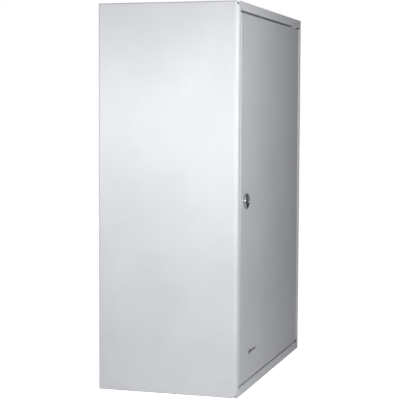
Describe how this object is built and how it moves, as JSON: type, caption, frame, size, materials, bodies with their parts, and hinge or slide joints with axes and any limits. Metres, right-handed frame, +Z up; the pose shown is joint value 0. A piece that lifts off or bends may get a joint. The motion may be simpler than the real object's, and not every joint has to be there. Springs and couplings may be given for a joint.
{
  "type": "battery box",
  "caption": "Tall sheet-steel battery cabinet with a flush hinged door, round cam lock, two battery shelves and a rail of switchgear inside.",
  "frame": {"origin": "centre of the underside of the base", "axes": "+Z up, -Y out of the door, +X towards the hinge side"},
  "size_m": [0.4925, 0.2545, 0.67],
  "materials": {
    "painted_steel": "satin",
    "zinc_steel": "satin",
    "bright_fixings": "satin",
    "chrome_lock": "polished",
    "foam_seal": "matte",
    "rubber_grommet": "matte",
    "nylon": "satin",
    "badge_grey": "satin",
    "battery_grey": "matte",
    "battery_lid_black": "satin",
    "lead_metal": "matte",
    "red_plastic": "satin",
    "black_plastic": "satin",
    "tinned_copper": "satin",
    "module_grey": "satin",
    "terminal_beige": "satin",
    "black_cable": "satin",
    "red_cable": "satin"
  },
  "bodies": {
    "cabinet": {"cabinet_top": "painted_steel", "cabinet_base": "painted_steel", "cabinet_left": "painted_steel", "cabinet_right": "painted_steel", "back_panel": "painted_steel", "door_stop": "painted_steel", "hinge_baffle": "painted_steel", "shelf_low": "zinc_steel", "shelf_high": "zinc_steel", "shelf_brackets_low": "zinc_steel", "shelf_brackets_high": "zinc_steel", "hold_down_bars": "zinc_steel", "din_rail": "zinc_steel", "back_panel_rivets": "bright_fixings", "earth_stud": "bright_fixings", "earth_nuts": "bright_fixings", "shelf_screws": "bright_fixings", "post_bolts": "bright_fixings", "hold_down_rods": "bright_fixings", "hold_down_nuts": "bright_fixings", "rail_screws": "bright_fixings", "door_seal": "foam_seal", "cable_grommets": "rubber_grommet", "shelf_grommets": "rubber_grommet", "hinge_bush_top": "nylon", "hinge_bush_low": "nylon", "battery_case_1": "battery_grey", "battery_case_2": "battery_grey", "battery_case_3": "battery_grey", "battery_case_4": "battery_grey", "battery_lid_1": "battery_lid_black", "battery_lid_2": "battery_lid_black", "battery_lid_3": "battery_lid_black", "battery_lid_4": "battery_lid_black", "battery_vents": "battery_lid_black", "battery_posts": "lead_metal", "positive_rings": "red_plastic", "negative_rings": "black_plastic", "link_bars": "tinned_copper", "cable_lugs": "tinned_copper", "breaker_body": "module_grey", "fuse_base": "module_grey", "terminal_blocks": "terminal_beige", "rail_clamps": "terminal_beige", "black_leads": "black_cable", "red_leads": "red_cable"},
    "door": {"door_panel": "painted_steel", "door_stiffener": "zinc_steel", "hinge_bracket_top": "zinc_steel", "hinge_bracket_low": "zinc_steel", "hinge_pin_top": "bright_fixings", "hinge_pin_low": "bright_fixings", "door_badge": "badge_grey", "lock_housing": "chrome_lock", "lock_nut": "bright_fixings"},
    "lock": {"lock_plug": "chrome_lock", "lock_cam": "zinc_steel", "cam_screw": "bright_fixings"},
    "breaker": {"breaker_toggle": "black_plastic"},
    "fuse": {"fuse_drawer": "module_grey"}
  },
  "joints": [
    {"name": "door_hinge", "type": "hinge", "parent": "cabinet", "child": "door", "pos_m": [0.1975, -0.113, 0.335], "axis": [0, 0, 1], "range_deg": [0, 115]},
    {"name": "lock_turn", "type": "hinge", "parent": "door", "child": "lock", "pos_m": [-0.196, -0.1, 0.333], "axis": [0, -1, 0], "range_deg": [0, 90]},
    {"name": "breaker_switch", "type": "hinge", "parent": "cabinet", "child": "breaker", "pos_m": [-0.072, 0.0555, 0.572], "axis": [1, 0, 0], "range_deg": [0, 50]},
    {"name": "fuse_swing", "type": "hinge", "parent": "cabinet", "child": "fuse", "pos_m": [0.01, 0.0685, 0.551], "axis": [1, 0, 0], "range_deg": [0, 60]}
  ]
}
